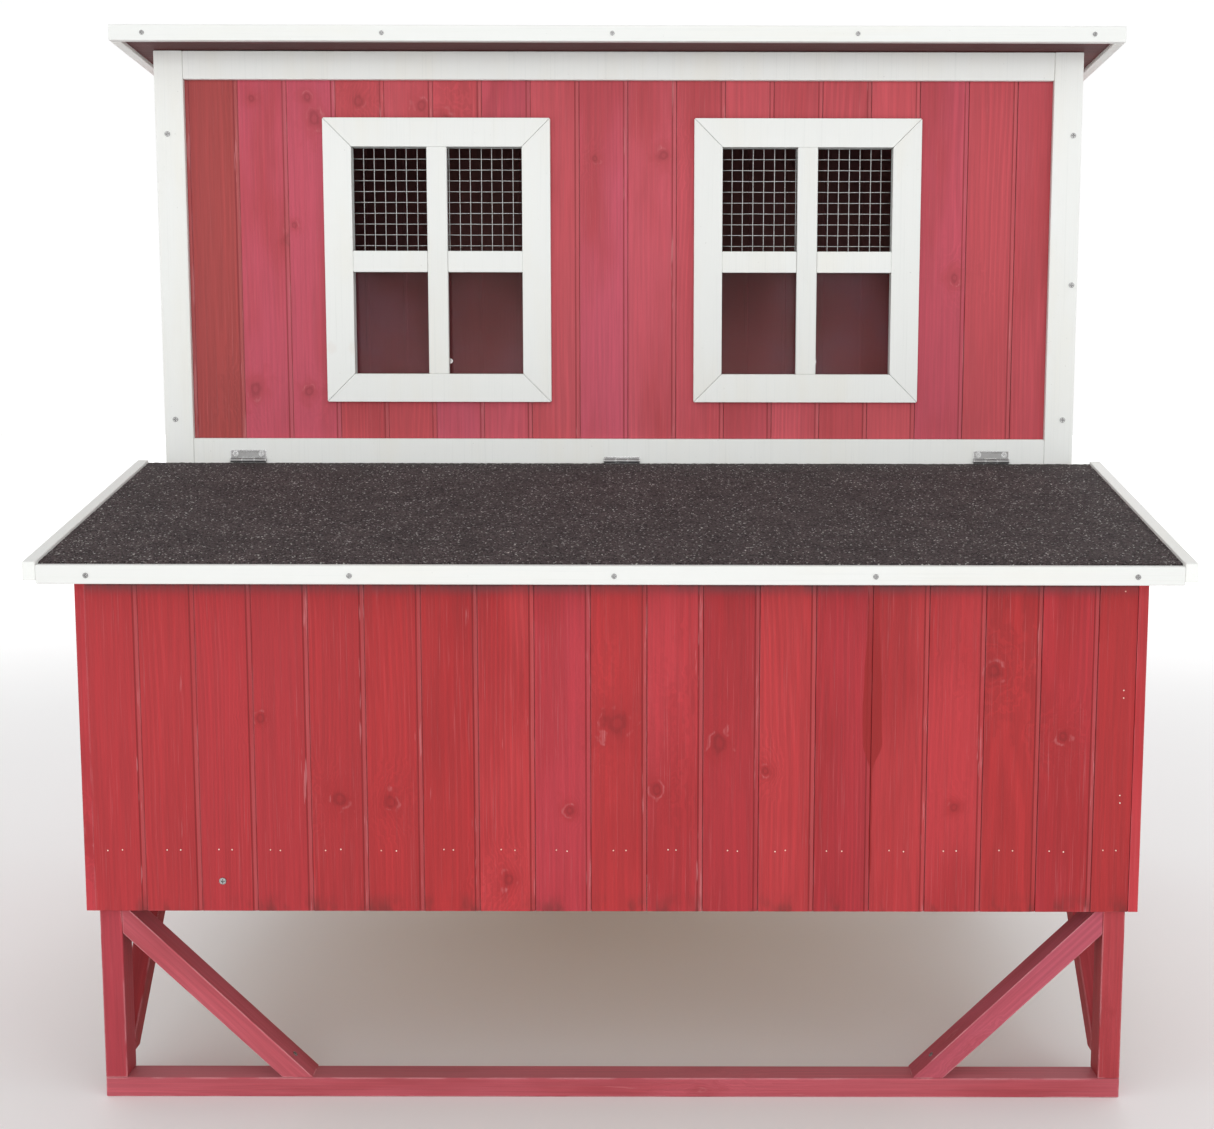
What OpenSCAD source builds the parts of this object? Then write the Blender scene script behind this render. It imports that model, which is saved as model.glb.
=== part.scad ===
// Raised timber chicken coop: a cabin on four legs, a full-width nest box with a hinged felt lid,
// barn windows, a cleaning door, a droppings tray, and a pop hole with a sliding door and a ramp.
// Millimetres, +Z up, +X to the right of the nest-box side, origin on the ground under the middle.

/* [Cabin] */
// Width over the painted boards
body_w = 1090; // [1075:5:1105]
// Depth of the cabin behind the nest box
body_d = 600; // [590:10:640]
// Height of the roof's front edge
roof_top = 1149.6; // [1140:0.2:1180]
// Fall of the roof towards the back, in degrees
roof_fall = 4.1; // [3:0.1:5]
// Width of the roof over its fascias
roof_w = 1156; // [1140:2:1180]
// Roof overhang at the front and at the back
roof_over = 61; // [50:1:70]

/* [Nest box] */
// Depth of the nest box
nest_d = 347; // [340:1:360]
// Height of the bottom edge of the boards above the ground
skirt_z = 206; // [200:1:215]
// Width of the lid over its side strips
lid_w = 1157; // [1140:1:1180]
// Overhang of the lid in front of the nest box
lid_over = 52; // [45:1:60]
// Slope of the lid, in degrees
lid_slope = 10.65; // [9:0.05:12]
// Height of the lid's rear edge
lid_rear_z = 648.6; // [645:0.2:652]
// Number of nests side by side
nests = 3; // [2:1:4]

/* [Timber] */
// Width of one tongue-and-groove board
board_pitch = 57.5; // [55:0.5:60]
// Thickness of the boards
board_t = 10; // [9:0.5:11]
// Width of the white trim
trim_w = 34; // [30:1:38]
// Thickness of the white trim
trim_t = 8; // [7:0.5:9]
// Width of a leg seen from the front
leg_w = 23; // [20:1:26]
// Depth of a leg
leg_d = 32; // [28:1:36]
// Height of the bottom rails
rail_h = 21; // [18:1:24]

/* [Windows] */
// Width of a window over its frame
window_w = 268; // [260:1:275]
// Height of a window over its frame
window_h = 333; // [325:1:340]
// Height of the lower edge of the windows
window_z = 721.5; // [715:0.5:730]
// Width of the mitred frame members
frame_w = 33.5; // [30:0.5:36]
// Width of the glazing bars
muntin_w = 24; // [20:1:28]
// Height of the lower edge of the middle bar
middle_bar_z = 875; // [860:1:890]
// Pitch of the welded mesh
mesh_pitch = 12.7; // [12.7:0.1:19]

/* [Openings] */
// Boards cut for the pop hole
pop_boards = 4; // [3:1:5]
// Height of the pop hole
pop_h = 300; // [260:10:320]
// Boards cut for the cleaning door
door_cut = 6; // [5:1:7]
// Height of the cleaning door
door_h = 620; // [500:10:660]
// Slope of the ramp at rest, in degrees
ramp_angle = 36; // [32:1:40]

/* [Hidden] */
RED = [0.62, 0.10, 0.13];
WHITE = [0.92, 0.93, 0.92];
FELT = [0.12, 0.11, 0.11];
ZINC = [0.60, 0.60, 0.60];
ROUND = 48;
gap = 0.3;
// Air in a timber joint, so that each stick of wood stays a piece of its own
seam = 0.2;

// Widths
half_w = body_w / 2;
leg_x = half_w - board_t;
wall_x = half_w - trim_t;
inner_x = wall_x - board_t;

// Heights
floor_t = 10;
floor_z = 276;
bearer_h = 34;
bearer_z = floor_z - floor_t - bearer_h;
sill_z = 643.5;
fascia_h = 18;
soffit_drop = 4;
roof_panel_t = 10;
felt_t = 2.5;

// Ramp and ledge
ledge_d = 28;
ledge_z = 264;
ledge_t = 22;
knuckle_r = 2.4;
pin_r = 1.2;
pin_fit = 0.05;
leaf_t = 1;
ramp_t = 12;
ramp_w = 226;
foot_z = 1;
ramp_start = knuckle_r + 5.2;
pivot_z = ledge_z + leaf_t / 2;
ramp_len = (pivot_z - foot_z - ramp_t * cos(ramp_angle)) / sin(ramp_angle);

// Depths, counted so that the origin is under the middle of the whole coop
head_t = 0.8;
front_reach = lid_over + head_t;
back_reach = nest_d + body_d + ledge_d + knuckle_r + gap + ramp_len * cos(ramp_angle);
nest_y = -(back_reach - front_reach) / 2;
wall_y = nest_y + nest_d;
board_y = wall_y + trim_t;
room_y = board_y + board_t;
back_y = wall_y + body_d;
back_board_y = back_y - trim_t;
back_room_y = back_board_y - board_t;
rear_leg_y = back_room_y - leg_d;
pivot_y = back_y + ledge_d + knuckle_r + gap;

// Window centres: the right-hand window sits a little further from the middle
window_x = [-215, 223];
window_y = wall_y;
opening_w = window_w - 2 * frame_w;
opening_z = window_z + frame_w;
opening_top = window_z + window_h - frame_w;
liner_w = 12;
wire_d = 1;
mesh_y = room_y;
pane_t = 2;

// Lid, in a profile frame that starts at the top of its rear edge
lid_rear_y = wall_y - 1.6;
lid_front_y = nest_y - lid_over;
lid_pivot_y = wall_y - knuckle_r - 0.5;
lid_pivot_z = lid_rear_z + knuckle_r + 0.5;
lid_t = 13;
strip_w = 13;
strip_rise = 3;
lid_fascia_t = 10;
lid_fascia_h = 19;
hinge_w = 43;
hinge_leaf_h = 10;
hinge_x = [-445.3, 3.2, 447.4];

// Board grids: one groove of each wall fixes the rest
nest_groove = 35.8;
wall_groove = 10.7;
side_groove = wall_y + 43;
nest_side_groove = nest_y + 51;
bevel_w = 5;
bevel_d = 0.9;

// Cleaning door in the right wall, and tray slot in the left wall
door_y = side_groove + 2 * board_pitch;
door_y1 = door_y + door_cut * board_pitch;
door_z = 330;
door_gap = 3;
door_pivot_x = half_w + knuckle_r + 0.2;
door_pivot_y = door_y1 - door_gap / 2;
door_hinge_z = [door_z + 90, door_z + door_h - 90];
bolt_z = door_z + door_h / 2;
bolt_r = 3;
bolt_x = half_w + 6.5;
tray_y = side_groove + board_pitch;
tray_y1 = tray_y + 7 * board_pitch;
tray_z1 = floor_z + 34;

// Pop hole in the back wall
pop_x0 = wall_groove - board_pitch * (pop_boards / 2);
pop_x1 = pop_x0 + pop_boards * board_pitch;
pop_mid = (pop_x0 + pop_x1) / 2;
pop_lap = 14;
guide_len = 2 * pop_h - 20;

function lid_top(y) = lid_rear_z - tan(lid_slope) * (lid_rear_y - y);
function roof_line(y) = roof_top - fascia_h + soffit_drop - tan(roof_fall) * (y - wall_y + roof_over);
// Tops of the walls and posts, just clear of the roof panel
function wall_top(y) = roof_line(y) - seam;
function grooves(phase, lo, hi) =
    [for (k = [ceil((lo - phase) / board_pitch + 0.02):floor((hi - phase) / board_pitch - 0.02)])
        phase + k * board_pitch];
function board_edges(phase, lo, hi) = concat([lo], grooves(phase, lo, hi), [hi]);

// ---- Shared shapes ----

module block(x, y, z) {
    translate([x[0], y[0], z[0]]) cube([x[1] - x[0], y[1] - y[0], z[1] - z[0]]);
}

module yz_prism(points, x) {
    translate([x[0], 0, 0]) rotate([90, 0, 90]) linear_extrude(x[1] - x[0]) polygon(points);
}

module xz_prism(points, y) {
    translate([0, y[1], 0]) rotate([90, 0, 0]) linear_extrude(y[1] - y[0]) polygon(points);
}

module both_sides() {
    children();
    mirror([1, 0, 0]) children();
}

// One board: a flat face with a long bevel on its right-hand edge, where it meets
// the next board. Its face looks along -Y.
module board(u0, u1, z) {
    bevel = min(bevel_w, (u1 - u0) / 2);
    translate([0, 0, z[0]]) linear_extrude(z[1] - z[0])
        polygon([[u0, 0], [u1 - bevel, 0], [u1 - seam, bevel_d], [u1 - seam, board_t],
            [u0, board_t]]);
}

module board_row(phase, lo, hi, z) {
    edges = board_edges(phase, lo, hi);
    for (k = [0:len(edges) - 2]) board(edges[k], edges[k + 1], z);
}

// Boards of a side wall: faces outwards, tops cut under the roof
module side_boards(z0) {
    intersection() {
        translate([wall_x, 0, 0]) rotate([0, 0, 90])
            board_row(side_groove, board_y, back_board_y, [z0, roof_top]);
        yz_prism([[board_y, z0], [back_board_y, z0], [back_board_y, wall_top(back_board_y)],
            [board_y, wall_top(board_y)]], [0, half_w]);
    }
}

// A countersunk screw head with a cross recess, facing -Y at the origin, on a short shank
module screw(head_r = 3, shank = 12) {
    rotate([90, 0, 0]) {
        difference() {
            cylinder(r = head_r, h = head_t, $fn = ROUND);
            translate([-head_r * 0.6, -0.4, head_t - 0.5]) cube([head_r * 1.2, 0.8, 1]);
            translate([-0.4, -head_r * 0.6, head_t - 0.5]) cube([0.8, head_r * 1.2, 1]);
        }
        if (shank > 0) translate([0, 0, -shank]) cylinder(r = 1.4, h = shank, $fn = ROUND);
    }
}

// Knuckles of one hinge along +X, centred: the middle belongs to the moving leaf
module knuckle(span) {
    translate([span[0], 0, 0]) rotate([0, 90, 0]) difference() {
        cylinder(r = knuckle_r, h = span[1] - span[0], $fn = ROUND);
        translate([0, 0, -1]) cylinder(r = pin_r + pin_fit, h = span[1] - span[0] + 2, $fn = ROUND);
    }
}

// A hinge leaf that leaves the knuckle along +Z, with its faces at y = off - leaf_t and y = off.
// The fixed leaf has the two end knuckles. Its screw heads are on the side given: -1, 1, or 0 for none.
module hinge_leaf(fixed, off, heads = -1, tall = hinge_leaf_h) {
    third = hinge_w / 6;
    spans = fixed ? [[-hinge_w / 2, -third - gap / 2], [third + gap / 2, hinge_w / 2]]
        : [[-third + gap / 2, third - gap / 2]];
    foot = knuckle_r + gap;
    difference() {
        union() {
            for (s = spans) {
                knuckle(s);
                block(s, [off - leaf_t, off], [0, foot + 0.1]);
            }
            block([-hinge_w / 2, hinge_w / 2], [off - leaf_t, off], [foot, knuckle_r + tall]);
        }
        rotate([0, 90, 0]) cylinder(r = pin_r + pin_fit, h = hinge_w + 2, center = true, $fn = ROUND);
    }
    if (heads != 0) for (x = [-1, 1])
        translate([x * (hinge_w / 2 - 6), off - (heads < 0 ? leaf_t : 0), knuckle_r + tall / 2 + 0.4])
            mirror([0, heads < 0 ? 0 : 1, 0]) screw(2.7, 0.5);
}

module hinge_pin() {
    rotate([0, 90, 0]) cylinder(r = pin_r, h = hinge_w + 1, center = true, $fn = ROUND);
}

// ---- Understructure ----

module front_bottom_rail() {
    color(RED) block([-leg_x, leg_x], [nest_y + board_t, nest_y + board_t + leg_d], [0, rail_h]);
}

module rear_bottom_rail() {
    color(RED) block([-inner_x, inner_x], [rear_leg_y, rear_leg_y + leg_d], [0, rail_h]);
}

module front_legs() {
    y = nest_y + board_t;
    color(RED) both_sides()
        yz_prism([[y, rail_h], [y + leg_d, rail_h], [y + leg_d, lid_top(y + leg_d) - lid_t - 1],
            [y, lid_top(y) - lid_t - 1]], [leg_x - leg_w, leg_x]);
}

module rear_legs() {
    y = rear_leg_y;
    color(RED) both_sides()
        yz_prism([[y, rail_h], [y + leg_d, rail_h], [y + leg_d, wall_top(y + leg_d)],
            [y, wall_top(y)]], [inner_x - leg_w, inner_x]);
}

// A brace from the inner side of a leg down to the bottom rail
brace_foot = 348;
brace_cut = 32;
brace_top = skirt_z + 5;
brace_slope = atan2(brace_top - rail_h, leg_x - leg_w - brace_foot + brace_cut);
brace_screw = [brace_foot - brace_cut + 30 * cos(brace_slope), rail_h + 30 * sin(brace_slope)];

module rail_brace(leg_inner, foot, y) {
    xz_prism([[-leg_inner, brace_top - brace_cut], [-foot, rail_h], [-foot + brace_cut, rail_h],
        [-leg_inner, brace_top]], [y, y + leg_d]);
}

module front_braces() {
    color(RED) both_sides() rail_brace(leg_x - leg_w, brace_foot, nest_y + board_t);
}

module rear_braces() {
    color(RED) both_sides() rail_brace(inner_x - leg_w, brace_foot, rear_leg_y);
}

// Braces along the sides, from low on each leg up to the side bearers
module side_braces() {
    y = nest_y + board_t + leg_d;
    low = 38;
    rise = bearer_z - low;
    wide = 32.5;
    color(RED) both_sides() {
        yz_prism([[y, low], [y + 15, low], [y + 15 + rise, bearer_z], [y + 15 + rise - wide, bearer_z],
            [y, low + wide - 15]], [leg_x - leg_w, leg_x]);
        yz_prism([[rear_leg_y, low], [rear_leg_y - 15, low], [rear_leg_y - 15 - rise, bearer_z],
            [rear_leg_y - 15 - rise + wide, bearer_z], [rear_leg_y, low + wide - 15]],
            [inner_x - leg_w, inner_x]);
    }
}

module floor_bearers() {
    y0 = nest_y + board_t + leg_d;
    z = [bearer_z, bearer_z + bearer_h];
    x = inner_x - leg_w;
    color(RED) {
        both_sides() {
            block([x, inner_x], [y0, wall_y], z);
            block([x, inner_x], [board_y, rear_leg_y], z);
        }
        for (y = [y0, wall_y - leg_w / 2, rear_leg_y - leg_w])
            block([-x + seam, x - seam], [y, y + leg_w], z);
    }
}

module nest_floor() {
    z = [floor_z - floor_t, floor_z];
    inner = leg_x - leg_w;
    sill = half_w - trim_w - 1;
    leg_end = nest_y + board_t + leg_d;
    color("burlywood") union() {
        block([-inner, inner], [nest_y + board_t, wall_y], z);
        block([-sill, sill], [wall_y - 0.01, room_y], z);
        both_sides() block([inner - 0.01, leg_x], [leg_end, wall_y], z);
    }
}

module cabin_floor() {
    z = [floor_z - floor_t, floor_z];
    inner = inner_x - leg_w;
    color("burlywood") union() {
        block([-inner, inner], [room_y, back_room_y], z);
        both_sides() block([inner - 0.01, inner_x], [room_y + leg_d, rear_leg_y], z);
    }
}

// ---- Nest box ----

module nest_front_boards() {
    top = lid_top(nest_y) - lid_t - 1;
    color(RED) translate([0, nest_y, 0]) board_row(nest_groove, -leg_x, leg_x, [skirt_z, top]);
}

module nest_side_boards() {
    color(RED) both_sides() intersection() {
        translate([half_w, 0, 0]) rotate([0, 0, 90])
            board_row(nest_side_groove, nest_y, wall_y, [skirt_z, roof_top]);
        yz_prism([[nest_y, skirt_z], [wall_y, skirt_z], [wall_y, lid_top(wall_y) - lid_t - 1],
            [nest_y, lid_top(nest_y) - lid_t - 1]], [0, half_w]);
    }
}

module nest_batten() {
    x = leg_x - leg_w;
    y = nest_y + board_t;
    color("burlywood") block([-x, x], [y, y + 18], [floor_z + 230, floor_z + 260]);
}

module nest_dividers() {
    y0 = nest_y + board_t + 18 + gap;
    color("burlywood") for (k = [1:nests - 1])
        translate([-leg_x + k * 2 * leg_x / nests - board_t / 2, 0, 0])
            yz_prism([[y0, floor_z], [board_y, floor_z], [board_y, lid_top(board_y) - lid_t - 12],
                [y0, lid_top(y0) - lid_t - 12]], [0, board_t]);
}

module nest_lip() {
    color("burlywood") block([-inner_x, inner_x], [board_y, room_y], [floor_z, floor_z + 60]);
}

// ---- Window wall ----

module window_cut(x, lap) {
    block([x - opening_w / 2 - lap, x + opening_w / 2 + lap], [-1, 2 * board_t],
        [opening_z - lap, opening_top + lap]);
}

module window_wall_boards() {
    color(RED) translate([0, board_y, 0]) difference() {
        board_row(wall_groove, -inner_x, inner_x, [sill_z, wall_top(room_y)]);
        for (x = window_x) window_cut(x, liner_w);
    }
}

module window_wall_trim() {
    top = wall_top(board_y);
    x = half_w - trim_w;
    y = [wall_y, board_y];
    color(WHITE) {
        both_sides() block([x, half_w], y, [skirt_z, top]);
        block([-x + seam, x - seam], y, [top - trim_w + 1.4, top]);
        block([-x + seam, x - seam], y, [sill_z, sill_z + trim_w]);
    }
}

// One mitred member, along +X from 0 to size, with the outer edge at z = 0
module mitred(size, w, t) {
    xz_prism([[seam, 0], [size - seam, 0], [size - w - seam, w], [w + seam, w]], [0, t]);
}

module mitred_frame(w, h, member, t) {
    mitred(w, member, t);
    translate([w, 0, h]) rotate([0, 180, 0]) mitred(w, member, t);
    translate([w, 0, 0]) rotate([0, -90, 0]) mitred(h, member, t);
    translate([0, 0, h]) rotate([0, 90, 0]) mitred(h, member, t);
}

module window_frames() {
    color(WHITE) for (x = window_x) {
        translate([x - window_w / 2, window_y, window_z]) mitred_frame(window_w, window_h, frame_w, trim_t);
        translate([x - opening_w / 2 - liner_w, board_y, opening_z - liner_w])
            mitred_frame(opening_w + 2 * liner_w, opening_top - opening_z + 2 * liner_w, liner_w, board_t);
    }
}

module window_muntins() {
    m = muntin_w / 2;
    color(WHITE) for (x = window_x) {
        block([x - m, x + m], [window_y, board_y], [opening_z, opening_top]);
        for (s = [-1, 1])
            block(s > 0 ? [x + m + seam, x + opening_w / 2] : [x - opening_w / 2, x - m - seam],
                [window_y + 0.4, board_y], [middle_bar_z, middle_bar_z + 25]);
    }
}

// Welded mesh as square bars that cross in one plane, over the upper half of each window
module window_mesh() {
    lap = liner_w - 2;
    z0 = middle_bar_z + 6;
    rows = floor((opening_top + lap - z0) / mesh_pitch);
    cols = 2 * floor((opening_w / 2 + lap) / mesh_pitch);
    hole = mesh_pitch - wire_d;
    color(ZINC) for (x = window_x)
        translate([x - (cols * mesh_pitch + wire_d) / 2, mesh_y + wire_d, z0]) rotate([90, 0, 0])
            linear_extrude(wire_d) difference() {
                square([cols * mesh_pitch + wire_d, rows * mesh_pitch + wire_d]);
                for (i = [0:cols - 1], k = [0:rows - 1])
                    translate([wire_d + i * mesh_pitch, wire_d + k * mesh_pitch]) square(hole);
            }
}

module window_panes() {
    lap = liner_w - 2;
    color([0.6, 0.6, 0.65, 0.4]) for (x = window_x)
        block([x - opening_w / 2 - lap, x + opening_w / 2 + lap], [mesh_y, mesh_y + pane_t],
            [opening_z - lap, middle_bar_z + 5]);
}

module pane_screws() {
    edge = opening_w / 2 + 5;
    color(ZINC) for (x = window_x) {
        translate([x + 11.5, mesh_y, opening_z + 15]) screw(3, 1);
        for (side = [-edge, edge], z = [opening_z + 20, middle_bar_z - 15])
            translate([x + side, mesh_y + pane_t, z]) rotate([0, 0, 180]) screw(3, 1);
    }
}

// ---- Cabin ----

// Front corner posts and the plates under the roof
module cabin_frame() {
    x = inner_x - leg_w;
    y = room_y;
    color(RED) both_sides() {
        yz_prism([[y, floor_z - floor_t], [y + leg_d, floor_z - floor_t], [y + leg_d, wall_top(y + leg_d)],
            [y, wall_top(y)]], [x, inner_x]);
        plate = [y + leg_d + seam, rear_leg_y];
        yz_prism([[plate[0], wall_top(plate[0]) - leg_w], [plate[1], wall_top(plate[1]) - leg_w],
            [plate[1], wall_top(plate[1])], [plate[0], wall_top(plate[0])]], [x, inner_x]);
    }
}

module left_wall_boards() {
    color(RED) difference() {
        mirror([1, 0, 0]) side_boards(skirt_z);
        block([-half_w, -inner_x + 1], [tray_y, tray_y1], [floor_z, tray_z1]);
    }
}

module right_wall_boards() {
    color(RED) difference() {
        side_boards(skirt_z);
        block([inner_x - 1, half_w], [door_y, door_y1], [door_z, door_z + door_h]);
    }
}

// Stiles, a bottom rail and a sloping top rail around a side wall, on the +X side
module side_wall_trim() {
    x = [wall_x, half_w];
    y0 = board_y;
    y1 = back_board_y;
    yz_prism([[y0, skirt_z], [y0 + trim_w, skirt_z], [y0 + trim_w, wall_top(y0 + trim_w)],
        [y0, wall_top(y0)]], x);
    yz_prism([[y1 - trim_w, skirt_z], [y1, skirt_z], [y1, wall_top(y1)],
        [y1 - trim_w, wall_top(y1 - trim_w)]], x);
    rail = [y0 + trim_w + seam, y1 - trim_w - seam];
    block(x, rail, [skirt_z, skirt_z + trim_w]);
    yz_prism([[rail[0], wall_top(rail[0]) - trim_w], [rail[1], wall_top(rail[1]) - trim_w],
        [rail[1], wall_top(rail[1])], [rail[0], wall_top(rail[0])]], x);
}

module left_wall_trim() {
    color(WHITE) mirror([1, 0, 0]) side_wall_trim();
}

module right_wall_trim() {
    x = [wall_x, half_w];
    color(WHITE) {
        side_wall_trim();
        for (y = [door_y - trim_w, door_y1])
            block(x, [y, y + trim_w], [door_z - trim_w, door_z + door_h + trim_w]);
        for (z = [door_z - trim_w, door_z + door_h])
            block(x, [door_y + seam, door_y1 - seam], [z, z + trim_w]);
    }
}

module back_wall_boards() {
    color(RED) difference() {
        translate([0, back_board_y, 0]) mirror([0, 1, 0])
            board_row(wall_groove, -inner_x, inner_x, [skirt_z, wall_top(back_board_y)]);
        block([pop_x0, pop_x1], [back_room_y - 1, back_board_y + 1], [ledge_z, ledge_z + pop_h]);
    }
}

module back_wall_trim() {
    top = wall_top(back_y);
    x = half_w - trim_w;
    y = [back_board_y, back_y];
    color(WHITE) {
        both_sides() block([x, half_w], y, [skirt_z, top]);
        block([-x + seam, x - seam], y, [top - trim_w, top]);
        block([-x + seam, x - seam], y, [skirt_z, skirt_z + trim_w]);
        for (x = [pop_x0 - trim_w, pop_x1])
            block([x, x + trim_w], y, [skirt_z + trim_w + seam, ledge_z + guide_len]);
    }
}

// Two guides that keep the sliding door against the wall: a spacer and a cover strip each
module pop_door_guides() {
    z = [ledge_z, ledge_z + guide_len];
    color(WHITE) for (s = [-1, 1]) translate([pop_mid, 0, 0]) scale([s, 1, 1]) {
        edge = (pop_x1 - pop_x0) / 2;
        block([edge + pop_lap + 1, edge + trim_w], [back_y, back_y + board_t + 0.6], z);
        block([edge + 4, edge + trim_w], [back_y + board_t + 0.6 + seam, back_y + board_t + 4.8], z);
    }
}

module landing_ledge() {
    x = ramp_w / 2 + 30;
    color(WHITE) block([pop_mid - x, pop_mid + x], [back_y, back_y + ledge_d], [ledge_z - ledge_t, ledge_z]);
}

roost_x = [-200, 200];
roost_z = 676;
roost_w = 40;
roost_h = 26;

module roost_bars() {
    color("burlywood") for (x = roost_x)
        block([x - roost_w / 2, x + roost_w / 2], [room_y + gap, back_room_y - gap],
            [roost_z, roost_z + roost_h]);
}

// Open seats on the front and back walls that the roost bars drop into
module roost_brackets() {
    seat_d = 20;
    cheek = 14;
    w = roost_w / 2 + seam;
    color("burlywood") for (x = roost_x, y = [room_y, back_room_y - seat_d]) {
        block([x - w - cheek, x + w + cheek], [y, y + seat_d], [roost_z - 24, roost_z]);
        for (x0 = [x - w - cheek, x + w])
            block([x0, x0 + cheek], [y, y + seat_d], [roost_z + seam, roost_z + roost_h]);
    }
}

// ---- Roof ----

module roof_slab(lo, hi, y, x) {
    yz_prism([[y[0], roof_line(y[0]) + lo], [y[1], roof_line(y[1]) + lo], [y[1], roof_line(y[1]) + hi],
        [y[0], roof_line(y[0]) + hi]], x);
}

roof_y = [wall_y - roof_over, back_y + roof_over];
roof_fascia_t = 10;
roof_side_t = 12;

module roof_panel() {
    x = roof_w / 2 - roof_side_t;
    color(RED) roof_slab(0, roof_panel_t, [roof_y[0] + roof_fascia_t, roof_y[1] - roof_fascia_t], [-x, x]);
}

module roof_felt() {
    x = roof_w / 2 - roof_side_t;
    y = [roof_y[0] + roof_fascia_t, roof_y[1] - roof_fascia_t];
    color(FELT) roof_slab(roof_panel_t, roof_panel_t + felt_t, y, [-x, x]);
}

module roof_front_fascia() {
    y = [roof_y[0], roof_y[0] + roof_fascia_t];
    color(WHITE) block([-roof_w / 2, roof_w / 2], y, [roof_top - fascia_h, roof_top]);
}

module roof_side_fascias() {
    y = [roof_y[0] + roof_fascia_t, roof_y[1] - roof_fascia_t];
    x = roof_w / 2;
    color(WHITE) {
        both_sides() roof_slab(-soffit_drop, fascia_h - soffit_drop, y, [x - roof_side_t, x]);
        roof_slab(-soffit_drop, fascia_h - soffit_drop, [y[1] + seam, roof_y[1]], [-x, x]);
    }
}

// ---- Tray ----

module tray_runners() {
    x = inner_x - leg_w - 10;
    color("burlywood") for (y = [tray_y - 12, tray_y1]) block([-x, x], [y, y + 12], [floor_z, floor_z + 12]);
}

module dropping_tray() {
    x0 = -inner_x - 2;
    x1 = inner_x - 60;
    y = [tray_y + 4, tray_y1 - 4];
    z0 = floor_z + 0.5;
    wall = 1.2;
    color(ZINC) difference() {
        block([x0, x1], y, [z0, z0 + 26]);
        block([x0 + wall, x1 - wall], [y[0] + wall, y[1] - wall], [z0 + wall, z0 + 27]);
    }
}

module tray_front() {
    mid = (tray_y + tray_y1) / 2;
    post = 16;
    grip = 60;
    z = floor_z + 10;
    color(WHITE) {
        block([-half_w, -inner_x - 2], [tray_y + 1, tray_y1 - 1], [floor_z + 1, tray_z1 - 1]);
        for (y = [mid - grip, mid + grip - post])
            block([-half_w - 14, -half_w - seam], [y, y + post], [z, z + 14]);
        block([-half_w - 22, -half_w - 14 - seam], [mid - grip, mid + grip], [z - 2, z + 16]);
    }
}

// ---- Screws of the fixed body ----

module frame_screws() {
    color(ZINC) {
        for (p = [[-531, 1035], [-532, 700], [535, 1035], [538, 861], [532, 701]])
            translate([p[0], wall_y, p[1]]) screw(3.2, 6);
        for (x = [-540, -268, -6, 273, 542])
            translate([x, roof_y[0], roof_top - fascia_h / 2]) screw(2.6, 8);
        translate([-403, nest_y, 238]) screw(3.6, 8);
        for (side = [-1, 1])
            translate([side * brace_screw[0], nest_y + board_t + leg_d * 0.4, brace_screw[1]])
                rotate([0, -side * brace_slope, 0]) rotate([-90, 0, 0]) screw(2.8, 6);
    }
}

// ---- Hinges: lid along X, door along Z, ramp along X ----

module lid_hinge_places() {
    for (x = hinge_x) translate([x, lid_pivot_y, lid_pivot_z]) children();
}

module door_hinge_places() {
    for (z = door_hinge_z) translate([door_pivot_x, door_pivot_y, z]) children();
}

module ramp_hinge_places() {
    for (x = [-70, 70]) translate([pop_mid + x, pivot_y, pivot_z]) children();
}

module hinge_fixed_leaves() {
    color(ZINC) {
        for (k = [0:2]) translate([hinge_x[k], lid_pivot_y, lid_pivot_z])
            hinge_leaf(true, wall_y - lid_pivot_y, k == 1 ? 0 : -1, k == 1 ? 2.5 : hinge_leaf_h);
        door_hinge_places() rotate([0, 90, 90]) hinge_leaf(true, door_pivot_x - half_w);
        ramp_hinge_places() rotate([90, 0, 0]) hinge_leaf(true, leaf_t / 2, 1);
    }
}

module hinge_pins() {
    color(ZINC) {
        lid_hinge_places() hinge_pin();
        door_hinge_places() rotate([0, 90, 90]) hinge_pin();
        ramp_hinge_places() hinge_pin();
    }
}

// ---- Lid ----

module lid_slab(lo, hi, y, x) {
    yz_prism([[y[0], lid_top(y[0]) + lo], [y[1], lid_top(y[1]) + lo], [y[1], lid_top(y[1]) + hi],
        [y[0], lid_top(y[0]) + hi]], x);
}

module lid_panel() {
    x = lid_w / 2 - strip_w;
    color("burlywood") lid_slab(-lid_t, -felt_t, [lid_front_y + lid_fascia_t, lid_rear_y], [-x, x]);
}

module lid_felt() {
    x = lid_w / 2 - strip_w;
    color(FELT) lid_slab(-felt_t, 0, [lid_front_y + lid_fascia_t, lid_rear_y], [-x, x]);
}

module lid_front_fascia() {
    x = lid_w / 2 - strip_w;
    top = lid_top(lid_front_y);
    y = [lid_front_y, lid_front_y + lid_fascia_t];
    color(WHITE) block([-x, x], y, [top - lid_fascia_h, top]);
}

module lid_side_strips() {
    x = lid_w / 2;
    color(WHITE) both_sides()
        lid_slab(strip_rise - lid_fascia_h, strip_rise, [lid_front_y, lid_rear_y], [x - strip_w, x]);
}

module lid_hinge_leaves() {
    off = lid_rear_y + leaf_t - lid_pivot_y;
    color(ZINC) lid_hinge_places() mirror([0, 0, 1]) hinge_leaf(false, off, 0);
}

module lid_screws() {
    color(ZINC) for (x = [-516, -257, 3.5, 261, 519])
        translate([x, lid_front_y, lid_top(lid_front_y) - lid_fascia_h * 0.55]) screw(2.7, 8);
}

// ---- Cleaning door ----

module door_boards() {
    g = door_gap;
    color(RED) intersection() {
        side_boards(skirt_z);
        block([inner_x - 1, half_w], [door_y + g, door_y1 - g], [door_z + g, door_z + door_h - g]);
    }
}

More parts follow.
